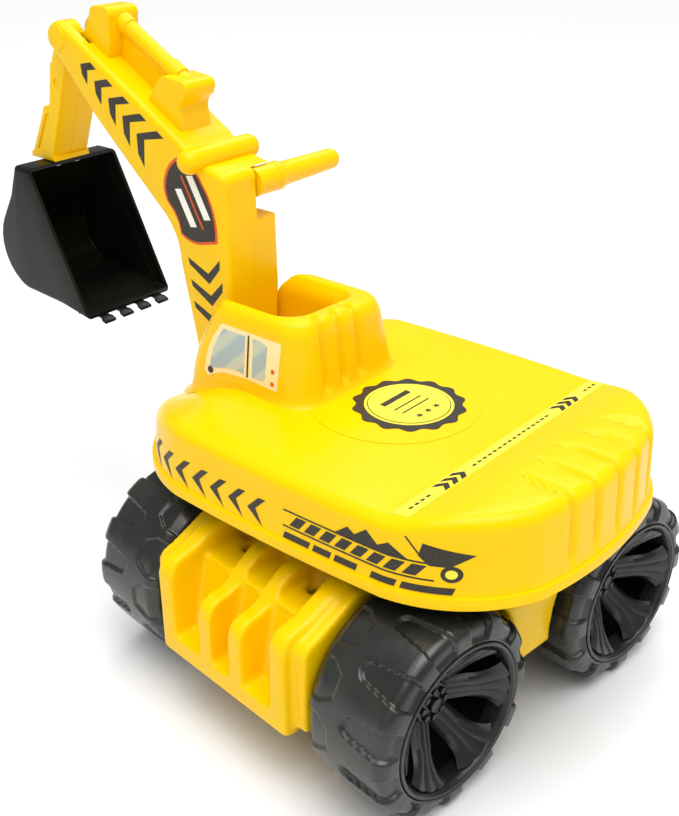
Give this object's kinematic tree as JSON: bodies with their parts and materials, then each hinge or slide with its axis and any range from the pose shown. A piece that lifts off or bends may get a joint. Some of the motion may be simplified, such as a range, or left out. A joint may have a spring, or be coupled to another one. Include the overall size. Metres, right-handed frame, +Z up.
{
  "type": "toy excavator",
  "caption": "Child's ride-on toy excavator with four chunky wheels, a seat that turns on the chassis, a cab block, a hinged boom with a lever-worked dipper, and a scoop bucket.",
  "frame": {"origin": "middle of the footprint of the whole toy as it stands, on the ground", "axes": "+X towards the bucket, +Y to the rider's left, +Z up"},
  "size_m": [0.536, 0.3344, 0.425],
  "materials": {
    "yellow_shell": "glossy moulded plastic",
    "black_wheel": "satin black moulded plastic",
    "black_bucket": "glossy black moulded plastic",
    "black_base": "matte black plastic",
    "grey_ring": "matte grey bearing plastic",
    "steel": "zinc-plated steel"
  },
  "bodies": {
    "chassis": {"chassis_shell": "yellow_shell", "chassis_pan": "black_base", "chassis_screws": "steel", "front_axle": "steel", "rear_axle": "steel", "axle_push_nuts": "steel", "slew_track": "grey_ring", "king_bolt": "steel", "king_washer": "steel", "king_nut": "steel"},
    "upper": {"seat_shell": "yellow_shell", "seat_base": "black_base", "seat_screws": "steel", "slew_ring": "grey_ring", "boom_pin": "steel"},
    "boom": {"boom_left": "yellow_shell", "boom_right": "yellow_shell", "boom_screws": "steel", "grip_bar": "yellow_shell", "ram_front_block": "yellow_shell", "ram_rear_block": "yellow_shell", "ram_cylinder": "yellow_shell", "dipper_pin": "steel", "lever_pin": "steel"},
    "lever": {"lever_arm": "yellow_shell", "lever_grip": "yellow_shell"},
    "push_rod": {"push_rod": "black_base"},
    "dipper": {"dipper_left": "yellow_shell", "dipper_right": "yellow_shell", "dipper_screws": "steel", "bucket": "black_bucket", "bucket_screws": "steel"},
    "wheel_front_left": {"tyre_front_left": "black_wheel", "wheel_insert_front_left": "black_wheel", "hub_cap_front_left": "black_wheel"},
    "wheel_front_right": {"tyre_front_right": "black_wheel", "wheel_insert_front_right": "black_wheel", "hub_cap_front_right": "black_wheel"},
    "wheel_rear_left": {"tyre_rear_left": "black_wheel", "wheel_insert_rear_left": "black_wheel", "hub_cap_rear_left": "black_wheel"},
    "wheel_rear_right": {"tyre_rear_right": "black_wheel", "wheel_insert_rear_right": "black_wheel", "hub_cap_rear_right": "black_wheel"}
  },
  "joints": [
    {"name": "slew", "type": "hinge", "parent": "chassis", "child": "upper", "pos_m": [-0.10305, 0, 0.146], "axis": [0, 0, 1], "continuous": true},
    {"name": "boom_lift", "type": "hinge", "parent": "upper", "child": "boom", "pos_m": [0.04295, 0, 0.182], "axis": [0, 1, 0], "range_deg": [-18, 30]},
    {"name": "lever_pivot", "type": "hinge", "parent": "boom", "child": "lever", "pos_m": [0.06615, 0, 0.30928], "axis": [0, 1, 0], "range_deg": [-14, 0]},
    {"name": "push_rod_slide", "type": "slide", "parent": "boom", "child": "push_rod", "axis": [0.8752, 0, 0.4837], "range_m": [-0.0035, 0.0005]},
    {"name": "dipper_pivot", "type": "hinge", "parent": "boom", "child": "dipper", "pos_m": [0.18795, 0, 0.399], "axis": [0, 1, 0], "range_deg": [-1, 26]},
    {"name": "spin_front_left", "type": "hinge", "parent": "chassis", "child": "wheel_front_left", "pos_m": [-0.09451, 0.08839, 0.067], "axis": [0.9954, -0.0962, 0], "continuous": true},
    {"name": "spin_front_right", "type": "hinge", "parent": "chassis", "child": "wheel_front_right", "pos_m": [-0.09451, 0.08839, 0.067], "axis": [0.9954, -0.0962, 0], "continuous": true},
    {"name": "spin_rear_left", "type": "hinge", "parent": "chassis", "child": "wheel_rear_left", "pos_m": [-0.11159, -0.08839, 0.067], "axis": [0.9954, -0.0962, 0], "continuous": true},
    {"name": "spin_rear_right", "type": "hinge", "parent": "chassis", "child": "wheel_rear_right", "pos_m": [-0.11159, -0.08839, 0.067], "axis": [0.9954, -0.0962, 0], "continuous": true}
  ],
  "couplings": [
    {"joint": "push_rod_slide", "follows": "lever_pivot", "m_per_rad": 0.0126},
    {"joint": "dipper_pivot", "follows": "lever_pivot", "ratio": -1.8}
  ]
}
